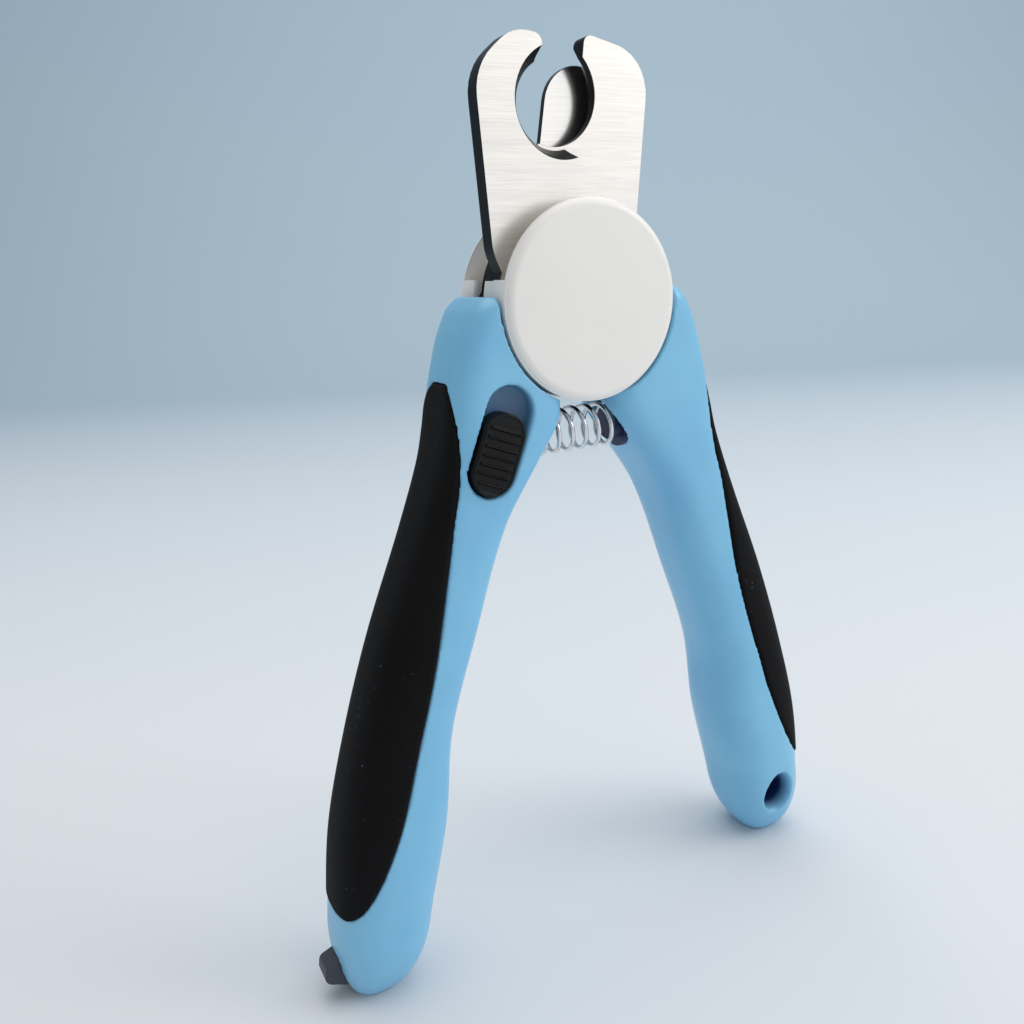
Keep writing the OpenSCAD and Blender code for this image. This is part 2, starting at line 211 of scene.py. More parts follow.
def prism_rings(outline: np.ndarray, y0: float, y1: float) -> np.ndarray:
    """An outline in X and Z, given thickness from y0 to y1.

    Args:
        outline: array of (x, z).
        y0: place of the first face.
        y1: place of the second face.

    Returns:
        Array of two rings by points by three.
    """
    flat = np.asarray(outline, float)
    wall = [np.column_stack([flat[:, 0], np.full(len(flat), y), flat[:, 1]]) for y in (y0, y1)]
    return np.stack(wall)


def stadium(width: float, length: float, steps: int = 24) -> np.ndarray:
    """Outline of a slot with round ends, upright and centred: two half circles of radius width / 2.

    Args:
        width: width of the slot.
        length: length over its round ends.
        steps: points in each half circle.

    Returns:
        Array of (x, z).
    """
    t = np.linspace(0, np.pi, steps)
    half = np.column_stack([np.cos(t), np.sin(t)]) * width / 2 + [0, (length - width) / 2]
    return np.concatenate([half, -half])


def lean(points: np.ndarray, degrees: float, at: tuple) -> np.ndarray:
    """Turns points in the X-Z plane clockwise by an angle and moves them to a place.

    Args:
        points: array whose last axis is (x, y, z).
        degrees: the angle.
        at: the place, as (x, z).

    Returns:
        The moved points.
    """
    c, s = math.cos(math.radians(degrees)), math.sin(math.radians(degrees))
    out = np.array(points, float)
    x, z = out[..., 0].copy(), out[..., 2].copy()
    out[..., 0] = x * c + z * s + at[0]
    out[..., 2] = z * c - x * s + at[1]
    return out


def baked(obj: bpy.types.Object, smooth_deg: float) -> bpy.types.Object:
    """Replaces an object's mesh by what its modifiers make of it, and drops the modifiers.

    Args:
        obj: the object.
        smooth_deg: edges sharper than this stay sharp.

    Returns:
        The same object.
    """
    bpy.context.view_layer.update()
    graph = bpy.context.evaluated_depsgraph_get()
    mesh = bpy.data.meshes.new_from_object(obj.evaluated_get(graph))
    obj.modifiers.clear()
    old, obj.data = obj.data, mesh
    bpy.data.meshes.remove(old)
    shade(mesh, smooth_deg)
    return obj


def carve(obj: bpy.types.Object, cutters: list, smooth_deg: float = 40.0) -> None:
    """Cuts closed shapes out of an object and deletes them.

    Args:
        obj: the object that is cut.
        cutters: the shapes that are taken out of it.
        smooth_deg: edges sharper than this stay sharp.
    """
    for cutter in cutters:
        cut = obj.modifiers.new("cut", "BOOLEAN")
        cut.operation = "DIFFERENCE"
        cut.solver = "MANIFOLD"
        cut.object = cutter
    baked(obj, smooth_deg)
    for cutter in cutters:
        bpy.data.objects.remove(cutter)


def soften(obj: bpy.types.Object, cell: float, passes: int) -> None:
    """Evens an object's mesh to square cells and smooths it, which rounds every cut edge as moulding does.

    Args:
        obj: the object.
        cell: size of a cell, in millimetres.
        passes: how often each point moves half way to its neighbours' mean.
    """
    remesh = obj.modifiers.new("even", "REMESH")
    remesh.mode = "VOXEL"
    remesh.voxel_size = cell * MM
    smooth = obj.modifiers.new("round", "SMOOTH")
    smooth.factor = 0.5
    smooth.iterations = passes
    baked(obj, ALL_SMOOTH)


def node_copy(node: str, name: str) -> bpy.types.Object:
    """Copies a CAD node's mesh, merges it and joins its flat faces.

    Args:
        node: name of the CAD node.
        name: name of the copy.

    Returns:
        The copy, without a material.
    """
    obj = bpy.data.objects.new(name, frame["nodes"][node].data.copy())
    bpy.context.scene.collection.objects.link(obj)
    obj.data.materials.clear()
    work = bmesh.new()
    work.from_mesh(obj.data)
    bmesh.ops.remove_doubles(work, verts=work.verts, dist=1e-6)
    bmesh.ops.dissolve_limit(work, angle_limit=math.radians(0.6), verts=work.verts, edges=work.edges)
    work.to_mesh(obj.data)
    work.free()
    return obj


def ground_copy(node: str, edge: float, steps: int = 2, limit_deg: float = 28.0,
                smooth_deg: float = 14.0) -> bpy.types.Object:
    """A CAD node with its sharp edges broken by a small bevel, as tumbled or ground steel has.

    Args:
        node: name of the CAD node.
        edge: width of the bevel, in millimetres.
        steps: segments of the bevel.
        limit_deg: edges flatter than this are left alone.
        smooth_deg: edges sharper than this stay sharp.

    Returns:
        The new object.
    """
    obj = node_copy(node, f"{node}_skin")
    bevel = obj.modifiers.new("edge", "BEVEL")
    bevel.width = edge * MM
    bevel.segments = steps
    bevel.limit_method = "ANGLE"
    bevel.angle_limit = math.radians(limit_deg)
    bevel.harden_normals = False
    return baked(obj, smooth_deg)


def place(obj: bpy.types.Object, body: Body, slot: str, finish: "Finish", *nodes: str) -> None:
    """Gives a piece its finish, the body it rides on and the CAD nodes it stands for.

    Args:
        obj: the piece.
        body: the rigid body that it moves with.
        slot: not used.
        finish: its finish.
        *nodes: names of the CAD nodes that it takes the place of.
    """
    obj.data.materials.clear()
    obj.data.materials.append(finish.material())
    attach(obj, body.value)
    if nodes:
        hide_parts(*nodes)
    LOG.info("%s: %d faces on %s", obj.name, len(obj.data.polygons), body.value)


# ---------------------------------------------------------------- shader effects


class Nodes:
    """Places shader nodes in a tree and joins them."""

    def __init__(self, tree: bpy.types.NodeTree) -> None:
        """Keeps the tree that the nodes go in."""
        self.tree = tree

    def feed(self, node: bpy.types.Node, inputs: dict) -> None:
        """Joins a node's inputs to sockets, or sets them to values.

        Args:
            node: the node.
            inputs: values or sockets, by the input's name or number.
        """
        for key, value in inputs.items():
            if isinstance(value, bpy.types.NodeSocket):
                self.tree.links.new(value, node.inputs[key])
            else:
                node.inputs[key].default_value = value

    def add(self, kind: str, inputs: dict | None = None, **settings: object) -> bpy.types.Node:
        """Places one node.

        Args:
            kind: the node's type, without its prefix.
            inputs: values or sockets for the node's inputs, by name or number.
            **settings: values for the node's own fields.

        Returns:
            The node.
        """
        node = self.tree.nodes.new(f"ShaderNode{kind}" if not kind.startswith("Node") else kind)
        for key, value in settings.items():
            setattr(node, key, value)
        self.feed(node, inputs or {})
        return node

    def math(self, operation: str, a: object, b: object = 0.0, clamp: bool = False) -> bpy.types.NodeSocket:
        """A Math node's result."""
        return self.add("Math", {0: a, 1: b}, operation=operation, use_clamp=clamp).outputs[0]

    def mix(self, share: object, first: object, second: object) -> bpy.types.NodeSocket:
        """Colour that goes from first to second as share goes from 0 to 1.

        Args:
            share: a socket or a number.
            first: a socket or a colour.
            second: a socket or a colour.

        Returns:
            The socket of the mixed colour.
        """
        node = self.add("Mix", data_type="RGBA")
        self.feed(node, {0: share, 6: first, 7: second})
        return node.outputs[2]

    def spread(self, value: object, low: float, high: float, to_low: float,
               to_high: float) -> bpy.types.NodeSocket:
        """Maps low..high to to_low..to_high and holds the ends.

        Args:
            value: the socket that is mapped.
            low: its low end.
            high: its high end.
            to_low: what low becomes.
            to_high: what high becomes.

        Returns:
            The socket of the result.
        """
        node = self.add("MapRange", {"Value": value, "From Min": low, "From Max": high,
                                     "To Min": to_low, "To Max": to_high})
        return node.outputs["Result"]


def effect(name: str, inputs: dict, outputs: dict) -> tuple:
    """Starts a shader node group, or finds it if it is already there.

    Args:
        name: name of the group.
        inputs: default value by input name; a vector input has None.
        outputs: socket type by output name.

    Returns:
        The tree, its Nodes helper, its input node and its output node, or the tree and None where it exists.
    """
    found = bpy.data.node_groups.get(name)
    if found:
        return found, None, None, None
    tree = bpy.data.node_groups.new(name, "ShaderNodeTree")
    for key, value in inputs.items():
        kind = "NodeSocketVector" if value is None else "NodeSocketFloat"
        made = tree.interface.new_socket(key, in_out="INPUT", socket_type=kind)
        if value is not None:
            made.default_value = value
    for key, kind in outputs.items():
        tree.interface.new_socket(key, in_out="OUTPUT", socket_type=kind)
    nodes = Nodes(tree)
    return tree, nodes, nodes.add("NodeGroupInput"), nodes.add("NodeGroupOutput")


def grain_effect() -> bpy.types.NodeTree:
    """Fine texture of a moulded skin: two sizes of noise, one for its pits and one for its drift.

    Returns:
        The group, with outputs Height and Drift.
    """
    tree, nodes, given, out = effect("moulded_grain", {"Vector": None, "Scale": 2500.0},
                                     {"Height": "NodeSocketFloat", "Drift": "NodeSocketFloat"})
    if nodes:
        fine = nodes.add("TexNoise", {"Vector": given.outputs["Vector"], "Scale": given.outputs["Scale"],
                                      "Detail": 3.0, "Roughness": 0.6})
        wide = nodes.add("TexNoise", {"Vector": given.outputs["Vector"], "Scale": 70.0, "Detail": 3.0})
        tree.links.new(fine.outputs[0], out.inputs["Height"])
        tree.links.new(nodes.spread(wide.outputs[0], 0.3, 0.7, 0, 1), out.inputs["Drift"])
    return tree


def brushing_effect() -> bpy.types.NodeTree:
    """Grinding lines: noise drawn out along X, so that it makes long thin streaks.

    Returns:
        The group, with outputs Height and Shade.
    """
    tree, nodes, given, out = effect("grinding_lines", {"Vector": None, "Fineness": 5000.0, "Draw": 0.03},
                                     {"Height": "NodeSocketFloat", "Shade": "NodeSocketFloat"})
    if nodes:
        axes = nodes.add("SeparateXYZ", {0: given.outputs["Vector"]})
        drawn = nodes.add("CombineXYZ", {"X": nodes.math("MULTIPLY", axes.outputs[0], given.outputs["Draw"]),
                                         "Y": axes.outputs[1], "Z": axes.outputs[2]})
        lines = nodes.add("TexNoise", {"Vector": drawn.outputs[0], "Scale": given.outputs["Fineness"],
                                       "Detail": 2.0})
        broad = nodes.add("TexNoise", {"Vector": drawn.outputs[0], "Scale": 900.0, "Detail": 2.0})
        shade = nodes.math("ADD", nodes.math("MULTIPLY", lines.outputs[0], 0.6),
                           nodes.math("MULTIPLY", broad.outputs[0], 0.4))
        tree.links.new(lines.outputs[0], out.inputs["Height"])
        tree.links.new(nodes.spread(shade, 0.35, 0.65, 0, 1), out.inputs["Shade"])
    return tree


def speck_effect() -> bpy.types.NodeTree:
    """Sparse tiny dots, such as lint: the near side of scattered cell centres, kept where noise is high.

    Returns:
        The group, with the output Mask.
    """
    tree, nodes, given, out = effect("specks", {"Vector": None, "Scale": 900.0, "Size": 0.12},
                                     {"Mask": "NodeSocketFloat"})
    if nodes:
        cells = nodes.add("TexVoronoi", {"Vector": given.outputs["Vector"], "Scale": given.outputs["Scale"]})
        near = nodes.math("LESS_THAN", cells.outputs["Distance"], given.outputs["Size"])
        where = nodes.add("TexNoise", {"Vector": given.outputs["Vector"], "Scale": 160.0})
        some = nodes.spread(where.outputs[0], 0.52, 0.66, 0, 1)
        tree.links.new(nodes.math("MULTIPLY", near, some), out.inputs["Mask"])
    return tree


# ---------------------------------------------------------------- finishes


def rgb(red: float, green: float, blue: float) -> tuple:
    """A colour given in screen values from 0 to 255, as the linear values that shaders use.

    Args:
        red: red.
        green: green.
        blue: blue.

    Returns:
        The four linear values, the last one 1.
    """
    v = np.array([red, green, blue]) / 255
    linear = np.where(v <= 0.04045, v / 12.92, ((v + 0.055) / 1.055) ** 2.4)
    return (*linear.tolist(), 1.0)


@dataclass(frozen=True)
class Finish:
    """What every finish has: its name, main colour and roughness."""

    name: str
    colour: tuple
    roughness: float

    def material(self) -> bpy.types.Material:
        """Finds the finish's material, or makes it the first time."""
        return bpy.data.materials.get(self.name) or self.make()

    def start(self, **constants: object) -> tuple:
        """Makes an empty material with a Principled shader.

        Args:
            **constants: values for the shader's own sockets, with _ for a space.

        Returns:
            The material, a Nodes helper, the shader and the Object coordinates.
        """
        made = bpy.data.materials.new(self.name)
        made.use_nodes = True
        made.node_tree.nodes.clear()
        nodes = Nodes(made.node_tree)
        shader = nodes.add("BsdfPrincipled")
        out = nodes.add("OutputMaterial")
        made.node_tree.links.new(shader.outputs[0], out.inputs[0])
        for key, value in {"Base_Color": self.colour, "Roughness": self.roughness, **constants}.items():
            shader.inputs[key.replace("_", " ")].default_value = value
        made.diffuse_color = self.colour
        return made, nodes, shader, nodes.add("TexCoord").outputs["Object"]

    def make(self) -> bpy.types.Material:
        """Builds the material; each kind of finish has its own."""
        raise NotImplementedError


def group_node(nodes: Nodes, tree: bpy.types.NodeTree, inputs: dict) -> bpy.types.Node:
    """Places an effect in a material with its own values.

    Args:
        nodes: the helper of the material's tree.
        tree: the effect's group.
        inputs: values or sockets by input name.

    Returns:
        The group's node.
    """
    node = nodes.add("Group")
    node.node_tree = tree
    nodes.feed(node, inputs)
    return node


def bump(nodes: Nodes, shader: bpy.types.Node, height: bpy.types.NodeSocket, depth: float) -> None:
    """Lets a height shape the shader's normal; depth is in metres.

    Args:
        nodes: the helper of the material's tree.
        shader: the shader.
        height: socket of the height.
        depth: how deep a height of 1 is.
    """
    node = nodes.add("Bump", {"Height": height, "Strength": 1.0, "Distance": depth})
    nodes.tree.links.new(node.outputs[0], shader.inputs["Normal"])


@dataclass(frozen=True)
class MouldedFinish(Finish):
    """Moulded plastic: a satin skin with a slight drift of tone, and a painted shade where it is sunk."""

    # deep: painted shade colour, mixed in by the sunk attribute where shade falls in recesses
    deep: tuple = (0, 0, 0, 1)
    drift: tuple = (0, 0, 0, 1)
    grain: float = 0.000006
    gloss: float = 0.15
    specular: float = 0.5

    def make(self) -> bpy.types.Material:
        """Skin colour drifting to a second tone, and to the painted shade colour by the piece's own sunk
        attribute.

        Returns:
            The new material.
        """
        made, nodes, shader, where = self.start(Coat_Weight=self.gloss, Coat_Roughness=0.25,
                                                Specular_IOR_Level=self.specular)
        grain = group_node(nodes, grain_effect(), {"Vector": where, "Scale": 2600.0})
        sunk = nodes.add("Attribute", attribute_name="sunk").outputs["Fac"]
        skin = nodes.mix(grain.outputs["Drift"], self.colour, self.drift)
        tree = nodes.tree
        # Painted shade: the sunk attribute mixes the skin towards the deep colour.
        tree.links.new(nodes.mix(sunk, skin, self.deep), shader.inputs["Base Color"])
        rough = nodes.spread(grain.outputs["Drift"], 0, 1, self.roughness - 0.03, self.roughness + 0.05)
        tree.links.new(rough, shader.inputs["Roughness"])
        bump(nodes, shader, grain.outputs["Height"], self.grain)
        return made


@dataclass(frozen=True)
class RubberFinish(Finish):
    """Soft black rubber: a matte skin with a fine grain and a few specks of lint."""

    lint: tuple = (0.2, 0.2, 0.2, 1)
    speck: float = 0.09

    def make(self) -> bpy.types.Material:
        """Black with lint by the speck effect, rougher where the grain is high.

        Returns:
            The new material.
        """
        made, nodes, shader, where = self.start(Specular_IOR_Level=0.14, Sheen_Weight=0.012, Sheen_Roughness=0.5)
        grain = group_node(nodes, grain_effect(), {"Vector": where, "Scale": 3800.0})
        lint = group_node(nodes, speck_effect(), {"Vector": where, "Scale": 700.0, "Size": self.speck})
        lighter = tuple(c * 1.7 for c in self.colour[:3]) + (1.0,)
        skin = nodes.mix(grain.outputs["Drift"], self.colour, lighter)
        nodes.tree.links.new(nodes.mix(lint.outputs["Mask"], skin, self.lint), shader.inputs["Base Color"])
        rough = nodes.spread(grain.outputs["Height"], 0.3, 0.7, self.roughness - 0.07, self.roughness + 0.08)
        nodes.tree.links.new(rough, shader.inputs["Roughness"])
        bump(nodes, shader, grain.outputs["Height"], 0.00003)
        return made


@dataclass(frozen=True)
class SteelFinish(Finish):
    """Ground steel sheet: bright faces with grinding lines, and cut walls painted dark as shade and dark
    reflection.
    """

    # wall: painted shade and dark reflection colour of the cut walls
    wall: tuple = (0.02, 0.02, 0.022, 1)
    lines: float = 0.0000015
    streak: float = 0.06

    def make(self) -> bpy.types.Material:
        """Face and wall are told apart by the piece's own wall attribute, and the wall colour is painted shade
        and dark reflection; streaks darken the face a little.

        Returns:
            The new material.
        """
        made, nodes, shader, where = self.start(Metallic=1.0)
        ground = group_node(nodes, brushing_effect(), {"Vector": where})
        wall = nodes.add("Attribute", attribute_name="wall").outputs["Fac"]
        dull = tuple(c * (1 - 2 * self.streak) for c in self.colour[:3]) + (1.0,)
        face = nodes.mix(ground.outputs["Shade"], dull, self.colour)
        # Painted shade and dark reflection: the wall attribute mixes in the dark wall colour.
        nodes.tree.links.new(nodes.mix(wall, face, self.wall), shader.inputs["Base Color"])
        streaked = nodes.spread(ground.outputs["Shade"], 0, 1, self.roughness + self.streak, self.roughness)
        rough = nodes.math("ADD", streaked, nodes.math("MULTIPLY", wall, 0.08))
        nodes.tree.links.new(rough, shader.inputs["Roughness"])
        bump(nodes, shader, ground.outputs["Height"], self.lines)
        return made


@dataclass(frozen=True)
class MetalFinish(Finish):
    """Plain metal of small parts: a tone that drifts, and fine tool marks."""

    tarnish: tuple = (0.3, 0.3, 0.3, 1)
    marks: float = 0.000002

    def make(self) -> bpy.types.Material:
        """Metal colour drifting towards its tarnish, with the grain's height as tool marks.

        Returns:
            The new material.
        """
        made, nodes, shader, where = self.start(Metallic=1.0)
        grain = group_node(nodes, grain_effect(), {"Vector": where, "Scale": 1800.0})
        tone = nodes.mix(nodes.math("MULTIPLY", grain.outputs["Drift"], 0.5), self.colour, self.tarnish)
        nodes.tree.links.new(tone, shader.inputs["Base Color"])
        rough = nodes.spread(grain.outputs["Drift"], 0, 1, self.roughness - 0.04, self.roughness + 0.08)
        nodes.tree.links.new(rough, shader.inputs["Roughness"])
        bump(nodes, shader, grain.outputs["Height"], self.marks)
        return made


class Finishes:
    """Every finish of the tool."""

    # The deep colours are painted shade, mixed in where a piece's sunk attribute is set.
    BLUE = MouldedFinish("handle_blue_skin", rgb(132, 200, 234), 0.36, deep=rgb(16, 46, 98),
                         drift=rgb(122, 190, 229), gloss=0.15)
    WHITE = MouldedFinish("cap_white_skin", rgb(247, 244, 239), 0.42, deep=rgb(214, 212, 208),
                          drift=rgb(244, 241, 236), gloss=0.1)
    BUTTON = MouldedFinish("button_black_skin", rgb(9, 9, 10), 0.5, deep=rgb(3, 3, 4),
                           drift=rgb(11, 11, 12), gloss=0.0, specular=0.25)
    SEAT = MouldedFinish("spring_seat_skin", rgb(28, 40, 74), 0.45, deep=rgb(20, 26, 48), drift=rgb(34, 46, 82))
    SLATE = MouldedFinish("file_head_skin", rgb(62, 66, 78), 0.48, deep=rgb(40, 43, 52),
                          drift=rgb(56, 60, 71), grain=0.00002, gloss=0.0)
    RUBBER = RubberFinish("grip_rubber_skin", rgb(7, 7, 8), 0.8, lint=rgb(100, 102, 106))
    # Their wall colours are painted shade and dark reflection on the cut walls.
    BLADE = SteelFinish("blade_ground_steel", (0.86, 0.835, 0.80, 1.0), 0.33, wall=(0.018, 0.018, 0.02, 1.0),
                        streak=0.07)
    GUARD = SteelFinish("guard_polished_steel", (0.84, 0.83, 0.81, 1.0), 0.18, wall=(0.05, 0.05, 0.052, 1.0),
                        streak=0.03, lines=0.0000006)
    FILE = SteelFinish("file_cut_steel", (0.72, 0.70, 0.66, 1.0), 0.34, wall=(0.42, 0.41, 0.39, 1.0), streak=0.08)
    PLATED = MetalFinish("plated_steel", (0.72, 0.72, 0.72, 1.0), 0.24, tarnish=(0.5, 0.49, 0.47, 1.0))
    SPRING = MetalFinish("spring_wire", (0.80, 0.80, 0.81, 1.0), 0.2, tarnish=(0.62, 0.61, 0.6, 1.0))
    BRASS = MetalFinish("bush_brass", (0.72, 0.52, 0.24, 1.0), 0.28, tarnish=(0.45, 0.3, 0.14, 1.0))


def set_values(obj: bpy.types.Object, name: str, values: np.ndarray, domain: str) -> None:
    """Writes one number per point or per face to an attribute of a mesh.

    Args:
        obj: the object.
        name: name of the attribute.
        values: the numbers.
        domain: POINT or FACE.
    """
    data = obj.data.attributes.new(name, "FLOAT", domain)
    data.data.foreach_set("value", np.asarray(values, np.float32))


def mark_shaded_walls(obj: bpy.types.Object, flat: float = 0.93) -> None:
    """Marks as wall every face whose normal is turned away from Y by more than a ground face's is; the steel
    finishes paint these faces dark as shade and dark reflection.

    Args:
        obj: the object.
        flat: least share of Y in the normal of a ground face.
    """
    normals = np.zeros(len(obj.data.polygons) * 3, np.float32)
    obj.data.polygons.foreach_get("normal", normals)
    set_values(obj, "wall", np.abs(normals[1::3]) < flat, "FACE")


def points_of(obj: bpy.types.Object) -> np.ndarray:
    """An object's points in millimetres about the pivot.

    Args:
        obj: the object.

    Returns:
        Array of shape (n, 3).
    """
    flat = np.zeros(len(obj.data.vertices) * 3, np.float32)
    obj.data.vertices.foreach_get("co", flat)
    return flat.reshape(-1, 3).astype(float) / MM - PIVOT


def move_points(obj: bpy.types.Object, points: np.ndarray) -> None:
    """Moves an object's points and keeps them inside the CAD model's box.

    Args:
        obj: the object.
        points: their new places, in millimetres about the pivot.
    """
    held = np.clip((points + PIVOT) * MM, CAD_BOX[0], CAD_BOX[1])
    obj.data.vertices.foreach_set("co", held.astype(np.float32).ravel())
    obj.data.update()


# ---------------------------------------------------------------- handles


@dataclass(frozen=True)
class HandleShape:
    """Skin of a handle: stations down its length, each a superellipse, with a rounded top and lower end.

    A point at depth h and angle a lies at x = middle + (half width) * |cos a|^(2/n), y = (half
    thickness) * |sin a|^(2/n) with the signs of cos a and sin a, and z = -h. Both halves shrink over the ends.
    """

    depth: tuple = (-1.6, 1, 5, 13, 18, 24, 34, 51, 67, 83, 99, 107, 112.6)
    inner: tuple = (5, 5, 5, 5, 5.2, 9, 15.3, 21.4, 26.8, 29.2, 33.2, 34.6, 35.6)
    outer: tuple = (18.6, 20.2, 22, 24.2, 25.1, 26.7, 30.8, 38.2, 43.8, 48.1, 50.2, 51, 51.8)
    half: tuple = (7.5, 7.6, 7.7, 7.8, 8, 8, 8, 8, 8.4, 9, 8.7, 8.4, 8)
    square: tuple = (4.4, 4.4, 4.4, 4.4, 4.2, 3.8, 3.1, 2.8, 2.6, 2.6, 2.6, 2.6, 2.6)
    top_round: float = 2.4
    end_round: float = 12.5
    foot: float = 0.5
    grip_top: float = 11.0
    grip_end: float = 95.5
    grip_share: float = 0.53
    edge_deg: float = 6.0

    def along(self, h: np.ndarray, values: tuple) -> np.ndarray:
        """Cubic through the stations' values, whose slope at each is that between its two neighbours.

        Args:
            h: depths.
            values: one number for each station.

        Returns:
            The number at each depth.
        """
        d, v = np.array(self.depth, float), np.array(values, float)
        number = np.arange(len(d))
        before, after = np.maximum(number - 1, 0), np.minimum(number + 1, len(d) - 1)
        slope = (v[after] - v[before]) / (d[after] - d[before])
        i = np.clip(np.searchsorted(d, h, side="right") - 1, 0, len(d) - 2)
        step = d[i + 1] - d[i]
        u = (h - d[i]) / step
        return ((2 * u**3 - 3 * u**2 + 1) * v[i] + (u**3 - 2 * u**2 + u) * step * slope[i]
                + (3 * u**2 - 2 * u**3) * v[i + 1] + (u**3 - u**2) * step * slope[i + 1])

    def shrink(self, h: np.ndarray) -> np.ndarray:
        """Share of the section left at depth h: a parabola over the top edge, an ellipse over the lower end.

        Args:
            h: depths.

        Returns:
            The share at each depth.
        """
        top = 1 - 0.12 * (1 - np.clip((h - self.depth[0]) / self.top_round, 0, 1)) ** 2
        u = np.clip((h - self.depth[-1] + self.end_round) / self.end_round, 0, 1)
        return top * np.sqrt(1 - (1 - self.foot**2) * u**2)

    def section(self, h: np.ndarray) -> tuple:
        """Middle, half width, half thickness and squareness of the section at depth h.

        Args:
            h: depths.

        Returns:
            The four of them, each with a number for each depth.
        """
        inner, outer, share = self.along(h, self.inner), self.along(h, self.outer), self.shrink(h)
        thick = self.along(h, self.half) * share
        return (inner + outer) / 2, (outer - inner) / 2 * share, thick, self.along(h, self.square)

    def skin(self, h: np.ndarray, a: np.ndarray, sunk: np.ndarray | float = 0.0) -> np.ndarray:
        """Points at depth h and angle a (radians from outward), sunk below the skin by some millimetres.

        Args:
            h: depths.
            a: angles.
            sunk: how far the points lie below the skin.

        Returns:
            Array whose last axis is (x, y, z).
        """
        middle, wide, thick, n = self.section(h)
        c, s = np.cos(a), np.sin(a)
        x = middle + (wide - sunk) * np.sign(c) * np.abs(c) ** (2 / n)
        y = (thick - sunk) * np.sign(s) * np.abs(s) ** (2 / n)
        return np.stack(np.broadcast_arrays(x, y, -h), -1)

    def level(self, points: np.ndarray) -> np.ndarray:
        """How far out a point lies in its section: 1 on the skin, less inside.

        Args:
            points: array of shape (n, 3), of the right-hand handle.

        Returns:
            The level of each point.
        """
        middle, wide, thick, n = self.section(np.clip(-points[:, 2], self.depth[0], self.depth[-1]))
        return (np.abs((points[:, 0] - middle) / wide) ** n + np.abs(points[:, 1] / thick) ** n) ** (1 / n)

    def grip_angle(self, h: np.ndarray) -> np.ndarray:
        """Half angle of the section that the grip takes up at depth h; a leaf, widest above the middle.

        Args:
            h: depths.

        Returns:
            The half angle at each depth, in radians.
        """
        u = np.clip((h - self.grip_top) / (self.grip_end - self.grip_top), 0, 1)
        share = self.grip_share * np.sin(np.pi * u**1.36).clip(0) ** np.where(u < 0.6, 1.0, 0.53)
        c = 1 - 2 * share
        bent = np.sign(c) * np.abs(c) ** (self.along(h, self.square) / 2)
        return np.maximum(math.radians(self.edge_deg), np.arccos(np.clip(bent, -1, 1)))


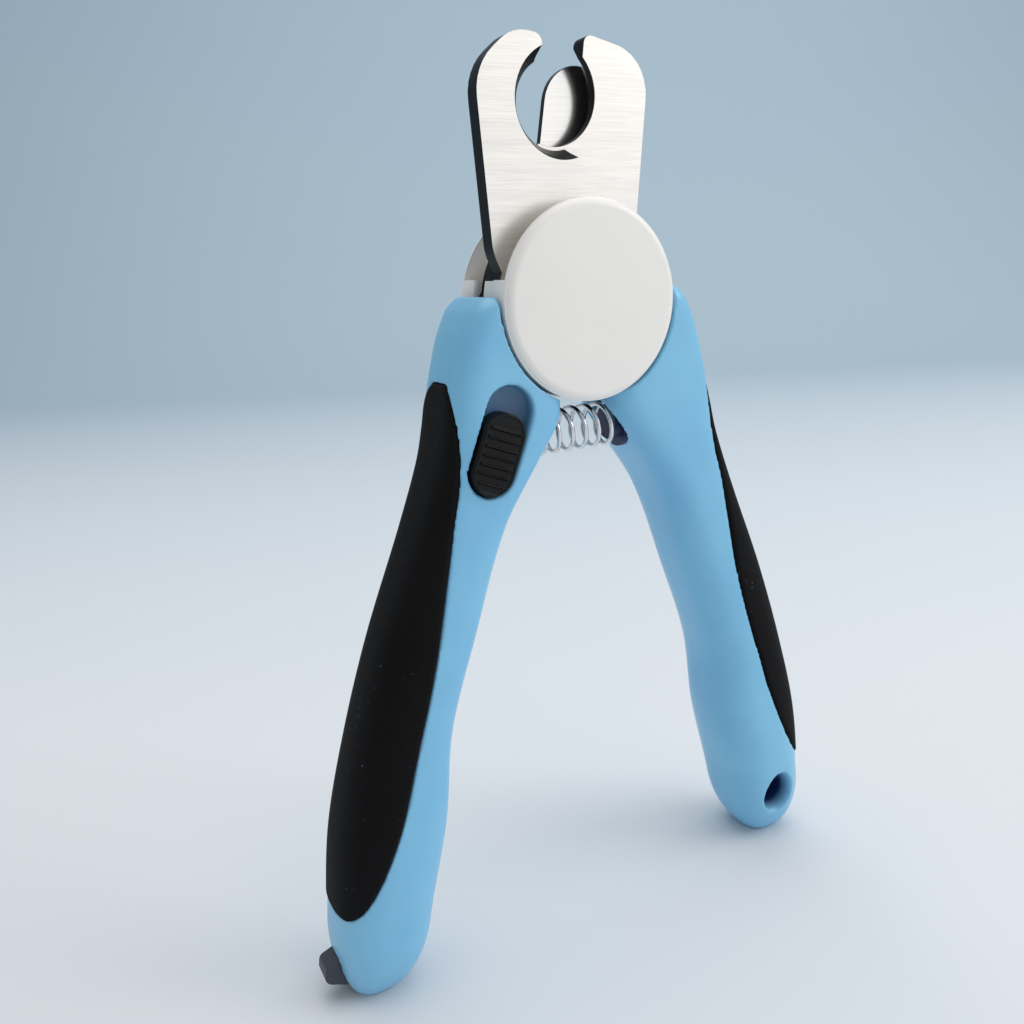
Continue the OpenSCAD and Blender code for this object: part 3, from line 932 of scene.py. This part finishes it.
@dataclass
class Handle:
    """One handle: the blue moulding and the rubber grip in its seat.

    Points within near of the skin are drawn on to it, and the pull ends over fade. It stops at rim_top and
    rim_end from the handle's two ends. The painted shade starts at painted_shade_start below the skin and is
    full over painted_shade_run; over end_run at each end of the handle it is held back. The grip's edge rolls
    down by roll_drop over the width roll.
    """

    side: Side
    shape: HandleShape
    socket_r: float = 16.0
    pocket_r: float = 4.35
    pocket_floor: float = 9.6
    spring_z: float = -21.0
    grip_depth: float = 1.8
    grip_proud: float = 0.25
    cell: float = 0.4
    near: float = 0.1
    fade: float = 0.22
    rim_top: float = 0.9
    rim_end: float = 0.8
    # Painted shade in recesses: where it starts below the skin and how far on it is full.
    painted_shade_start: float = 0.5
    painted_shade_run: float = 2.2
    end_run: float = 1.5
    roll: float = 0.9
    roll_drop: float = 0.6

    @property
    def body(self) -> Body:
        """The rigid body that this handle belongs to."""
        return Body.LEFT if self.side is Side.LEFT else Body.RIGHT

    def facing(self, points: np.ndarray) -> np.ndarray:
        """Points of the right-hand handle, mirrored where this is the left one."""
        return points * np.array([self.side.value, 1, 1])

    def blank(self) -> bpy.types.Object:
        """The whole skin, closed at both ends.

        Returns:
            The new object.
        """
        s = self.shape
        ends = np.sin(np.linspace(0, np.pi / 2, 22))
        h = np.concatenate([s.depth[0] + s.top_round * (1 - np.cos(np.linspace(0, np.pi / 2, 8))),
                            np.linspace(2, s.depth[-1] - s.end_round, 120)[:-1],
                            s.depth[-1] - s.end_round + s.end_round * ends])
        a = np.linspace(0, 2 * np.pi, 144, endpoint=False)
        return tube_piece(f"{self.body.value}_blank", self.facing(s.skin(h[:, None], a[None, :])))

    def leaf(self, name: str, low: float, outer: np.ndarray, inner: float, h: np.ndarray,
             t: np.ndarray) -> bpy.types.Object:
        """Closed form over the grip's leaf outline, from a sunk inner face to an outer face.

        Args:
            name: name of the piece.
            low: gap left round the outline, in radians.
            outer: how far the outer face is sunk, over depth and width.
            inner: how far the inner face is sunk.
            h: depths of the rings.
            t: places across, from -1 to 1.

        Returns:
            The new object.
        """
        b = (self.shape.grip_angle(h) - low)[:, None]
        front = self.shape.skin(h[:, None], b * t, outer)
        back = self.shape.skin(h[:, None], b * t[::-1], inner)
        return tube_piece(name, self.facing(np.concatenate([front, back], 1)), 50)

    def seat_cutter(self) -> bpy.types.Object:
        """What the seat of the grip takes out of the moulding."""
        h = np.linspace(self.shape.grip_top, self.shape.grip_end, 110)
        return self.leaf("seat", 0.0, np.array(-1.0), self.grip_depth, h, np.linspace(-1, 1, 25))

    def cutters(self) -> list:
        """Shapes that are cut from both mouldings: the caps' socket, the spring's pocket, the grip's seat.

        Returns:
            The three objects.
        """
        pocket = bar_rings((self.pocket_r,) * 2, (-3, self.pocket_floor), around=64)[..., [1, 0, 2]]
        pocket = self.facing(pocket) + np.array([0, 0, self.spring_z])
        return [tube_piece("socket", bar_rings((self.socket_r,) * 2, (-14, 14), around=180)),
                tube_piece("pocket", pocket), self.seat_cutter()]

    def finish_skin(self, obj: bpy.types.Object) -> None:
        """Draws points near the skin back on to it exactly, and marks how far each other point is sunk, for the
        painted shade in recesses.

        A point on the skin has level 1, and dividing its offset from the section's middle by its level
        puts it there. The pull fades with distance, so that rounded rims stay round.

        Args:
            obj: the moulding.
        """
        points = self.facing(points_of(obj))
        level = self.shape.level(points)
        first, last = self.shape.depth[0], self.shape.depth[-1]
        middle, wide, thick, _ = self.shape.section(np.clip(-points[:, 2], first, last))
        below = (1 - level) * np.minimum(wide, thick)
        reach = (first + self.rim_top < -points[:, 2]) * (-points[:, 2] < last - self.rim_end)
        held = np.clip(1 - (np.abs(below) - self.near) / self.fade, 0, 1) * reach
        gain = 1 + held * (1 / np.maximum(level, 0.05) - 1)
        points[:, 0] = middle + (points[:, 0] - middle) * gain
        points[:, 1] *= gain
        move_points(obj, self.facing(points))
        # Painted shade: sunk darkens points below the skin, and is held back near the handle's two ends.
        ends = np.clip((-points[:, 2] - first - 0.6) / self.end_run, 0, 1)
        ends *= np.clip((last + points[:, 2] - 0.5) / self.end_run, 0, 1)
        set_values(obj, "sunk", np.clip((below - self.painted_shade_start) / self.painted_shade_run, 0, 1) * ends, "POINT")
        shade(obj.data, ALL_SMOOTH)

    def build(self, extra: list) -> None:
        """Makes the moulding, less the cutters that only this side has, and the grip.

        Args:
            extra: the cutters that only this side has.
        """
        name = "left_moulding" if self.side is Side.LEFT else "right_moulding"
        moulding = self.blank()
        moulding.name = name
        carve(moulding, self.cutters() + extra)
        soften(moulding, self.cell, 4)
        self.finish_skin(moulding)
        place(moulding, self.body, "handle_blue", Finishes.BLUE, f"{self.body.value}_body")
        grip = self.grip()
        move_points(grip, points_of(grip))
        place(grip, self.body, "grip_rubber", Finishes.RUBBER, f"{self.side.name.lower()}_grip")

    def grip(self) -> bpy.types.Object:
        """Rubber grip: proud of the skin, and rounded down to it within a millimetre of its edge.

        Returns:
            The new object.
        """
        s = self.shape
        t = np.sin(np.linspace(-np.pi / 2, np.pi / 2, 61))
        count, gap = 260, 0.12
        even = np.linspace(0, 1, count)
        crowded = (1 - np.cos(np.linspace(0, np.pi, count))) / 2
        h = s.grip_top + gap + (s.grip_end - s.grip_top - 2 * gap) * (0.5 * crowded + 0.5 * even)
        b = s.grip_angle(h)[:, None]
        edge = np.minimum(np.linalg.norm(s.skin(h[:, None], b * t) - s.skin(h[:, None], b), axis=-1),
                          np.linalg.norm(s.skin(h[:, None], b * t) - s.skin(h[:, None], -b), axis=-1))
        edge = np.minimum(edge, np.minimum(h - s.grip_top, s.grip_end - h)[:, None])
        rolled = 1 - np.clip(edge / self.roll, 0, 1)
        sunk = -self.grip_proud + self.roll_drop * (1 - np.sqrt(1 - rolled**2))
        return self.leaf(f"{self.side.name.lower()}_grip_skin", 0.004, sunk, self.grip_depth - 0.05, h, t)


@dataclass
class HangHole:
    """Hole near the end of the right handle, with an oval funnel at each side."""

    x: float = 42.0
    z: float = -102.0
    radius: float = 2.8
    mouth: tuple = (9.2, 13.6)
    face: float = 10.4
    floor: float = 4.6

    def cutters(self) -> list:
        """The bore, and two funnels whose outline grows from the bore's circle to an oval by a smooth step.

        Returns:
            The three objects.
        """
        made = [tube_piece("bore", bar_rings((self.radius,) * 2, (-12, 12), self.x, self.z, 72))]
        t = np.linspace(0, 2 * np.pi, 72, endpoint=False)
        share = np.linspace(0, 1, 16)[:, None]
        for sign in (-1, 1):
            depth = self.floor + (self.face - self.floor) * share
            half_w = self.radius - 0.05 + (self.mouth[0] / 2 - self.radius) * share**1.6
            half_h = self.radius - 0.05 + (self.mouth[1] / 2 - self.radius) * share**1.2
            rings = np.stack(np.broadcast_arrays(self.x + half_w * np.cos(t), sign * depth,
                                                 self.z + half_h * np.sin(t)), -1)
            made.append(tube_piece("funnel", rings))
        return made


# ---------------------------------------------------------------- pivot caps


@dataclass
class PivotCap:
    """Round white cap: a slightly domed disc with a soft rim, a wall round its lower part and a deep lip.

    The lip wraps the edge of a blade's hub at the left of the front cap. The rear cap is the same piece,
    turned half a turn about the height.
    """

    front: bool
    radius: float = 15.5
    face: float = 8.8
    dome: float = 0.3
    rim: float = 1.5
    back: float = 7.2
    wall: tuple = (1.4, 3.13, -105.0, 105.0)
    lip: tuple = (1.1, 0.28, 66.0, 104.5)

    def disc(self) -> np.ndarray:
        """Profile of the disc: a parabola over the face, a quarter circle at the rim, and a flat back.

        Returns:
            Array of (radius, y).
        """
        u = np.linspace(0.0005, 1, 26)[:-1]
        flat = self.radius - self.rim
        face = np.column_stack([flat * u, -(self.face - self.dome * u**2)])
        a = np.linspace(np.pi / 2, 0, 14)
        centre_y = self.face - self.dome - self.rim
        edge = np.column_stack([flat + self.rim * np.cos(a), -(centre_y + self.rim * np.sin(a))])
        back = np.array([[self.radius, -self.back], [0.0005, -self.back]])
        return np.concatenate([face, edge, back])

    def skirt(self, thick: float, end: float, low: float, high: float, inset: float) -> np.ndarray:
        """Rings of a wall: a small rectangle with a rounded lip, carried round part of the rim.

        Args:
            thick: thickness of the wall.
            end: how near the wall comes to the middle of the tool.
            low: where the wall starts, in degrees left of straight down.
            high: where it ends.
            inset: how far its outer side lies inside the disc's rim.

        Returns:
            An array of rings by points by three.
        """
        r1, r0 = self.radius - inset, self.radius - thick
        a = np.linspace(0, np.pi, 9)
        mid, half = (r0 + r1) / 2, (r1 - r0) / 2
        edge = np.column_stack([mid + half * np.cos(a), -(end + 0.3) + 0.3 * np.sin(a)])
        loop = np.concatenate([edge, [[r0, -self.back - 0.4], [r1, -self.back - 0.4]]])
        turn = np.radians(np.linspace(low, high, 130))[:, None]
        r, y = loop[None, :, 0], loop[None, :, 1]
        return np.stack(np.broadcast_arrays(-r * np.sin(turn), y, -r * np.cos(turn)), -1)

    def build(self) -> None:
        """Makes the cap, joins its wall and lip to its disc, and dresses it."""
        name = "front_cap" if self.front else "rear_cap"
        turn = np.array([1, 1, 1]) if self.front else np.array([-1, -1, 1])
        cap = tube_piece(f"{name}_skin", lathe_rings(self.disc(), 160) * turn)
        for label, (sizes, inset) in {"wall": (self.wall, 0.015), "lip": (self.lip, 0.03)}.items():
            part = tube_piece(label, self.skirt(*sizes, inset) * turn)
            join = cap.modifiers.new("join", "BOOLEAN")
            join.operation, join.solver, join.object = "UNION", "MANIFOLD", part
            baked(cap, 32)
            bpy.data.objects.remove(part)
        # Painted shade: the wall and lip darken towards the blades, up to about a third of the way to the deep
        # colour.
        depth = np.abs(points_of(cap)[:, 1])
        set_values(cap, "sunk", np.clip((5.4 - depth) / 2.6, 0, 1) * 0.35, "POINT")
        place(cap, Body.RIGHT if self.front else Body.LEFT, "cap_white", Finishes.WHITE, name)


# ---------------------------------------------------------------- steel


@dataclass
class CuttingHead:
    """The two blades and the guard that swings behind them."""

    blade_edge: float = 0.17
    guard_edge: float = 0.14

    def build(self) -> None:
        """Breaks the edges of the sheet steel parts and dresses faces and cut walls apart."""
        for node, body, edge, slot, finish in (
            ("front_blade", Body.RIGHT, self.blade_edge, "blade_steel", Finishes.BLADE),
            ("rear_blade", Body.LEFT, self.blade_edge, "blade_steel", Finishes.BLADE),
            ("guard_plate", Body.GUARD, self.guard_edge, "guard_steel", Finishes.GUARD),
        ):
            part = ground_copy(node, edge)
            mark_shaded_walls(part)
            place(part, body, slot, finish, node)


@dataclass
class ReturnSpring:
    """Compression spring between the handles: a wire of radius wire wound at radius coil.

    A point on the centreline lies at (x, coil * cos t, coil * sin t), and x runs evenly with t.
    """

    coil: float = 3.5
    wire: float = 0.4
    half_length: float = 8.75
    turns: float = 6.5
    z: float = -21.0
    around: int = 14
    steps: int = 300

    def rings(self) -> np.ndarray:
        """Circles of the wire's radius set square to the centreline, by its own tangent.

        Returns:
            Array of rings by points by three.
        """
        u = np.linspace(0, 1, self.steps)
        t = 2 * np.pi * self.turns * u
        x = (2 * u - 1) * (self.half_length - self.wire)
        line = np.column_stack([x, self.coil * np.cos(t), self.coil * np.sin(t)])
        along = np.gradient(line, axis=0)
        along /= np.linalg.norm(along, axis=1)[:, None]
        out = np.column_stack([np.zeros(self.steps), np.cos(t), np.sin(t)])
        across = np.cross(along, out)
        b = np.linspace(0, 2 * np.pi, self.around, endpoint=False)[None, :, None]
        rings = line[:, None] + self.wire * (np.cos(b) * out[:, None] + np.sin(b) * across[:, None])
        return rings + np.array([0, 0, self.z])

    def build(self) -> None:
        """Makes the coil between its two seats."""
        coil = tube_piece("return_spring_coil", self.rings(), 60)
        coil.data.materials.append(Finishes.SPRING.material())
        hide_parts("return_spring")
        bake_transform(coil)
        LOG.info("%s: %d faces between the handles", coil.name, len(coil.data.polygons))


# ---------------------------------------------------------------- lock


@dataclass
class LockButton:
    """Thumb button of the lock: a stadium with a raised smooth border and cross ridges inside it."""

    at: tuple = (-17.3, -19.95)
    lean_deg: float = 21.8
    shift: float = -2.0
    width: float = 7.4
    length: float = 13.2
    back: float = -5.8
    face: float = -8.45
    border: float = 0.75
    border_height: float = 0.2
    ridges: int = 7
    ridge_height: float = 0.5
    pitch: float = 1.42
    roll: float = 0.55

    def front(self, x: np.ndarray, z: np.ndarray, half: np.ndarray) -> np.ndarray:
        """Height of the face: a rounded border that stands proud, and inside it a field with ridges.

        The border is a half sine along the outline. The ridges are the upper half of a cosine of z, squared
        so that they are thin, and kept to the middle of the field.

        Args:
            x: places across the button.
            z: places along it.
            half: half width of the button at each z.

        Returns:
            Heights over the face.
        """
        inset = np.minimum(half - np.abs(x), self.length / 2 - np.abs(z))
        hump = self.border_height * np.sin(np.pi * np.clip(inset / self.border, 0, 1))
        top = self.ridges * self.pitch / 2
        place_z = z + 0.4
        wave = np.clip(np.cos(2 * np.pi * (place_z / self.pitch + 0.5 * (self.ridges + 1))), 0, 1) ** 2
        inside = np.clip((inset - self.border) / 0.2, 0, 1) * (np.abs(place_z) < top)
        return hump + self.ridge_height * wave * inside

    def rings(self) -> np.ndarray:
        """One closed loop per height z: the back, a wall, a rolled edge and the face.

        Returns:
            Array of rings by points by three.
        """
        cut = np.sin(np.linspace(-np.pi / 2, np.pi / 2, 190))
        z = (self.length / 2 - 0.02) * (0.7 * np.linspace(-1, 1, 190) + 0.3 * cut)[:, None]
        r = self.width / 2
        half = np.sqrt(r**2 - np.clip(np.abs(z) - (self.length / 2 - r), 0, None) ** 2)
        s = np.sin(np.linspace(-np.pi / 2, np.pi / 2, 49))[None, :]
        x = half * s
        rolled = np.clip(1 - (half - np.abs(x)) / self.roll, 0, 1)
        roll = self.roll * (1 - np.sqrt(1 - rolled**2))
        y = self.face - self.front(x, z, half) + roll
        face = np.stack(np.broadcast_arrays(x, y, z), -1)
        back = np.stack(np.broadcast_arrays(half * s[:, ::-1], self.back, z), -1)
        return np.concatenate([face, back], 1)

    def build(self) -> None:
        """Makes the button in its own frame, leans it to the handle and dresses it."""
        rings = self.rings() + np.array([0, 0, self.shift])
        button = tube_piece("lock_button_skin", lean(rings, self.lean_deg, self.at), 45)
        # Painted shade: points below the border and the ridge tops darken towards the deep colour, fully on the
        # sides and back.
        height = -points_of(button)[:, 1]
        set_values(button, "sunk", np.clip((-self.face + 0.12 - height) / 0.3, 0, 1), "POINT")
        place(button, Body.LOCK, "button_black", Finishes.BUTTON, "lock_button")

    def recess(self) -> list:
        """Cutters for the recess that the button slides in, and for the slot that its stem runs in.

        Returns:
            The two objects.
        """
        around, travel, floor = 0.6, 4.6, -5.6
        outline = stadium(self.width + around, self.length + travel, 36)
        slot = np.array([[-1.9, -7.6], [1.9, -7.6], [1.9, 3.6], [-1.9, 3.6]])
        made = [prism_rings(outline, -12, floor), prism_rings(slot, -12, -2)]
        return [tube_piece(f"recess_{i}", lean(rings, self.lean_deg, self.at)) for i, rings in enumerate(made)]


# ---------------------------------------------------------------- nail file


@dataclass
class NailFile:
    """Nail file that slides into the left handle: a cut steel strip in a moulded head with a thumb hook."""

    at: tuple = (-33.6, -57.0)
    lean_deg: float = 11.4
    length: float = 50.0
    width: float = 7.0
    thick: float = 1.0
    tooth: float = 0.09
    pitch: float = 0.75

    def slots(self) -> list:
        """Cutters for the file's slot and for the pocket of its head.

        Returns:
            The two objects.
        """
        strip = np.array([[-3.8, -60], [3.8, -60], [3.8, 0], [-3.8, 0]])
        pocket = np.array([[-11, -69], [4.9, -69], [4.9, -44.9], [-5.1, -44.9], [-5.1, -49.4], [-11, -49.4]])
        made = [prism_rings(strip, -0.8, 0.8), prism_rings(pocket, -2.4, 2.4)]
        return [tube_piece(f"file_slot_{i}", lean(rings, self.lean_deg, self.at)) for i, rings in enumerate(made)]

    def relief(self, x: np.ndarray, z: np.ndarray) -> np.ndarray:
        """Depth of the cut: two sets of V grooves that cross, from two folded waves along (x + z) and (x - z).

        Args:
            x: places across the strip.
            z: places along it.

        Returns:
            The depth at each place.
        """
        first = np.abs(((x * 0.8 + z) / self.pitch) % 1 - 0.5) * 2
        second = np.abs(((x * 0.8 - z) / self.pitch) % 1 - 0.5) * 2
        return self.tooth * (1 - np.minimum(first, second))

    def rings(self) -> np.ndarray:
        """One closed loop per place along the strip: one face, a thin edge, the other face, the other edge.

        Returns:
            Array of rings by points by three.
        """
        z = np.linspace(-self.length, -1.02, 330)[:, None]
        r = self.width / 2
        half = np.sqrt(np.maximum(r**2 - np.clip(z + 1 + r, 0, None) ** 2, 0.0004))
        s = np.linspace(-1, 1, 45)[None, :]
        x = half * s
        cut = self.relief(x, z) * (half - np.abs(x) > 0.35) * (z < -1.4)
        top = np.stack(np.broadcast_arrays(x, -(self.thick / 2 - cut), z), -1)
        low = np.stack(np.broadcast_arrays(x[:, ::-1], self.thick / 2 - cut[:, ::-1], z), -1)
        return np.concatenate([top, low], 1)

    def build(self) -> None:
        """Makes the strip and the head, and dresses them."""
        strip = tube_piece("file_strip_skin", lean(self.rings(), self.lean_deg, self.at), 25)
        mark_shaded_walls(strip, 0.3)
        place(strip, Body.FILE, "file_steel", Finishes.FILE, "file_strip")
        head = ground_copy("file_cap", 0.45, 3, 35.0)
        set_values(head, "sunk", np.zeros(len(head.data.vertices)), "POINT")
        place(head, Body.FILE, "file_cap_slate", Finishes.SLATE, "file_cap")


# ---------------------------------------------------------------- small parts


def dress_hardware() -> None:
    """Gives the small CAD parts that show as they are their own finishes."""
    finishes = {
        "pivot_screw": Finishes.PLATED, "pivot_nut": Finishes.PLATED, "front_washer": Finishes.PLATED,
        "guard_washer": Finishes.PLATED, "wave_washer": Finishes.SPRING, "pivot_bush": Finishes.BRASS,
        "lock_bolt": Finishes.PLATED, "lock_screw": Finishes.PLATED, "lock_detent": Finishes.SPRING,
        "file_latch": Finishes.SPRING, "left_spring_seat": Finishes.SEAT, "right_spring_seat": Finishes.SEAT,
    }
    for node, finish in finishes.items():
        part = frame["nodes"][node]
        part.data.materials.clear()
        part.data.materials.append(finish.material())
        LOG.info("%s: %s", node, finish.name)


# ---------------------------------------------------------------- studio


@dataclass
class Studio:
    """Pale floor that runs up into a backdrop, soft light and the camera, which stands so far from the pivot."""

    stand: tuple = (-78.17, -128.06, 6.88)
    look: tuple = (0.44117, 0.85558, -0.27084)
    up: tuple = (0.17007, 0.21662, 0.96133)
    lens: float = 31.53

    def camera(self) -> None:
        """A camera at the viewing point, turned by its right, up and backward axes."""
        back = -Vector(self.look).normalized()
        up = (Vector(self.up) - Vector(self.up).dot(back) * back).normalized()
        right = up.cross(back)
        turn = Matrix((right, up, back)).transposed().to_4x4()
        data = bpy.data.cameras.new("camera")
        data.lens, data.sensor_width = self.lens, 36.0
        data.clip_start, data.clip_end = 0.005, 20.0
        obj = bpy.data.objects.new("camera", data)
        obj.matrix_world = Matrix.Translation((PIVOT + np.array(self.stand)) * MM) @ turn
        bpy.context.scene.collection.objects.link(obj)
        bpy.context.scene.camera = obj

    def sweep(self) -> None:
        """Floor and backdrop: a flat line, a quarter circle and an upright line, carried sideways.

        Each point keeps its share of the way along that line, which the paper's tone follows.
        """
        bend, far, tall, near, wide = 0.5, 0.75, 2.2, -2.5, 3.5
        a = np.linspace(0, np.pi / 2, 24)
        flat = np.column_stack([np.linspace(near, far, 60), np.zeros(60)])
        curve = np.column_stack([far + bend * np.sin(a), bend - bend * np.cos(a)])[1:]
        rise = np.column_stack([np.full(12, far + bend), np.linspace(bend, tall, 12)])[1:]
        line = np.concatenate([flat, curve, rise])
        way = np.concatenate([[0], np.cumsum(np.linalg.norm(np.diff(line, axis=0), axis=1))])
        ahead = np.array(self.look[:2]) / np.hypot(*self.look[:2])
        across = np.array([ahead[1], -ahead[0]])
        count = 9
        s = np.linspace(-wide, wide, count)
        ground = line[:, None, :1] * ahead + s[None, :, None] * across
        points = np.concatenate([ground, np.broadcast_to(line[:, None, 1:], (len(line), count, 1))], -1)
        j, i = np.meshgrid(np.arange(len(line) - 1), np.arange(count - 1), indexing="ij")
        a = j * count + i
        faces = np.stack([a, a + 1, a + count + 1, a + count], -1).reshape(-1, 4).tolist()
        mesh = bpy.data.meshes.new("sweep")
        mesh.from_pydata(points.reshape(-1, 3), [], faces)
        obj = bpy.data.objects.new("sweep", mesh)
        bpy.context.scene.collection.objects.link(obj)
        shade(mesh, ALL_SMOOTH)
        set_values(obj, "way", np.repeat(way + near, count), "POINT")
        mesh.materials.append(self.paper())

    def paper(self) -> bpy.types.Material:
        """Matte paper whose tone goes from pale grey near the tool to blue grey far behind it.

        Returns:
            The new material.
        """
        made = bpy.data.materials.new("studio_paper")
        made.use_nodes = True
        nodes = Nodes(made.node_tree)
        shader = made.node_tree.nodes["Principled BSDF"]
        shader.inputs["Roughness"].default_value = 0.9
        shader.inputs["Specular IOR Level"].default_value = 0.1
        way = nodes.add("Attribute", attribute_name="way").outputs["Fac"]
        near = nodes.spread(way, 0.05, 0.75, 0, 1)
        far = nodes.spread(way, 0.7, 1.5, 0, 1)
        tone = nodes.mix(near, rgb(222, 226, 230), rgb(184, 201, 213))
        tone = nodes.mix(far, tone, rgb(192, 213, 226))
        where = nodes.add("TexCoord").outputs["Object"]
        mottle = nodes.add("TexNoise", {"Vector": where, "Scale": 3.0, "Detail": 2.0})
        soft = nodes.spread(mottle.outputs[0], 0.3, 0.7, 0, 0.04)
        made.node_tree.links.new(nodes.mix(soft, tone, rgb(160, 180, 196)), shader.inputs["Base Color"])
        return made

    def lamp(self, name: str, at: tuple, size: float, power: float, aim: tuple, tint: tuple) -> None:
        """A square area light at a place, turned to face a point.

        Args:
            name: name of the lamp.
            at: its place, in metres.
            size: length of its side, in metres.
            power: its power, in watts.
            aim: the point that it faces.
            tint: its colour.
        """
        data = bpy.data.lights.new(name, "AREA")
        data.shape, data.size, data.energy, data.color = "SQUARE", size, power, tint
        obj = bpy.data.objects.new(name, data)
        obj.location = at
        obj.rotation_euler = (Vector(aim) - Vector(at)).to_track_quat("-Z", "Y").to_euler()
        bpy.context.scene.collection.objects.link(obj)

    def light(self) -> None:
        """Soft overhead light, a key at the right and a weaker fill in front, which the blades reflect."""
        world = bpy.data.worlds.new("studio")
        world.use_nodes = True
        sky = world.node_tree.nodes["Background"]
        sky.inputs["Color"].default_value = (0.93, 0.96, 1.0, 1.0)
        sky.inputs["Strength"].default_value = 0.44
        bpy.context.scene.world = world
        aim = (0, 0, 0.08)
        warm = (1.0, 0.98, 0.955)
        self.lamp("overhead", (0.1, 0.15, 1.1), 1.1, 7.4, aim, (1.0, 0.985, 0.965))
        self.lamp("key", (0.95, -0.5, 0.7), 0.7, 5.0, aim, warm)
        self.lamp("front_fill", (0.62, -1.08, 0.4), 1.0, 2.3, aim, warm)

    def build(self) -> None:
        """Sets up the whole studio."""
        bpy.context.scene.view_settings.view_transform = "Standard"
        self.camera()
        self.sweep()
        self.light()


def main() -> None:
    """Builds the tool piece by piece, then the studio."""
    logging.basicConfig(level=logging.INFO, format="%(name)s: %(message)s")
    shape = HandleShape(depth=HandleShape.depth[:-1] + (float(PIVOT[2]),))
    lock, file, hole = LockButton(), NailFile(), HangHole()
    Handle(Side.LEFT, shape).build(lock.recess() + file.slots())
    Handle(Side.RIGHT, shape).build(hole.cutters())
    for front in (True, False):
        PivotCap(front).build()
    CuttingHead().build()
    ReturnSpring().build()
    lock.build()
    file.build()
    dress_hardware()
    Studio().build()


if __name__ == "__main__":
    main()
